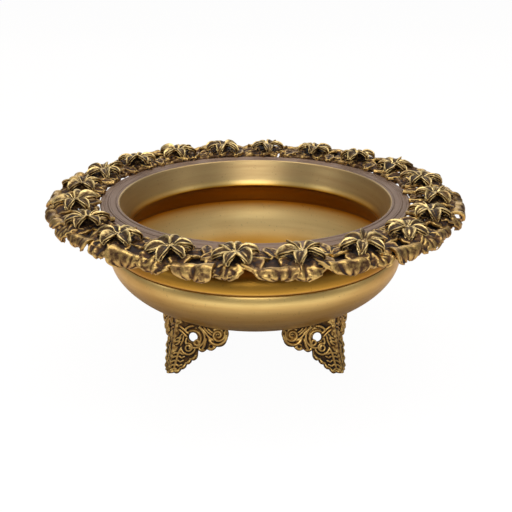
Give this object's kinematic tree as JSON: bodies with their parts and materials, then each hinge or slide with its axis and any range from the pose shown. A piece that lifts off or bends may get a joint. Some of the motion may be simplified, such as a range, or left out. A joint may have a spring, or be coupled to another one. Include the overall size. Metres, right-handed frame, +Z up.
{
  "type": "footed flower bowl",
  "caption": "Wide shallow brass urli bowl with a narrow neck, flat turned lip ringed by cast leaves and open flowers, on low fretted feet.",
  "frame": {"origin": "on the ground, under the centre of the bowl", "axes": "+Z up along the bowl's axis, -Y towards the viewer at the front, the feet on the diagonals"},
  "size_m": [0.4054, 0.4054, 0.1664],
  "materials": {
    "base_brass": "satin, brushed with the turning, browner towards the foot ring",
    "shoulder_brass": "satin, polished inside the neck, dull brown on the lip and under the garland",
    "garland_brass": "near-black patina in the hollows, rubbed bright on the edges",
    "flower_brass": "brown-black patina in the petals, rubbed gold on the rims and the bud",
    "foot_brass": "brown patina in the fretwork, rubbed gold on the ridges"
  },
  "bodies": {
    "root": {"bowl_base": "base_brass", "bowl_shoulder": "shoulder_brass", "flower_01": "flower_brass", "flower_02": "flower_brass", "flower_03": "flower_brass", "flower_04": "flower_brass", "flower_05": "flower_brass", "flower_06": "flower_brass", "flower_07": "flower_brass", "flower_08": "flower_brass", "flower_09": "flower_brass", "flower_10": "flower_brass", "flower_11": "flower_brass", "flower_12": "flower_brass", "flower_13": "flower_brass", "flower_14": "flower_brass", "flower_15": "flower_brass", "flower_16": "flower_brass", "flower_17": "flower_brass", "flower_18": "flower_brass", "flower_19": "flower_brass", "flower_20": "flower_brass", "foot_1": "foot_brass", "foot_2": "foot_brass", "foot_3": "foot_brass", "foot_4": "foot_brass", "garland_section_1": "garland_brass", "garland_section_2": "garland_brass", "garland_section_3": "garland_brass", "garland_section_4": "garland_brass", "garland_section_5": "garland_brass"}
  },
  "joints": []
}
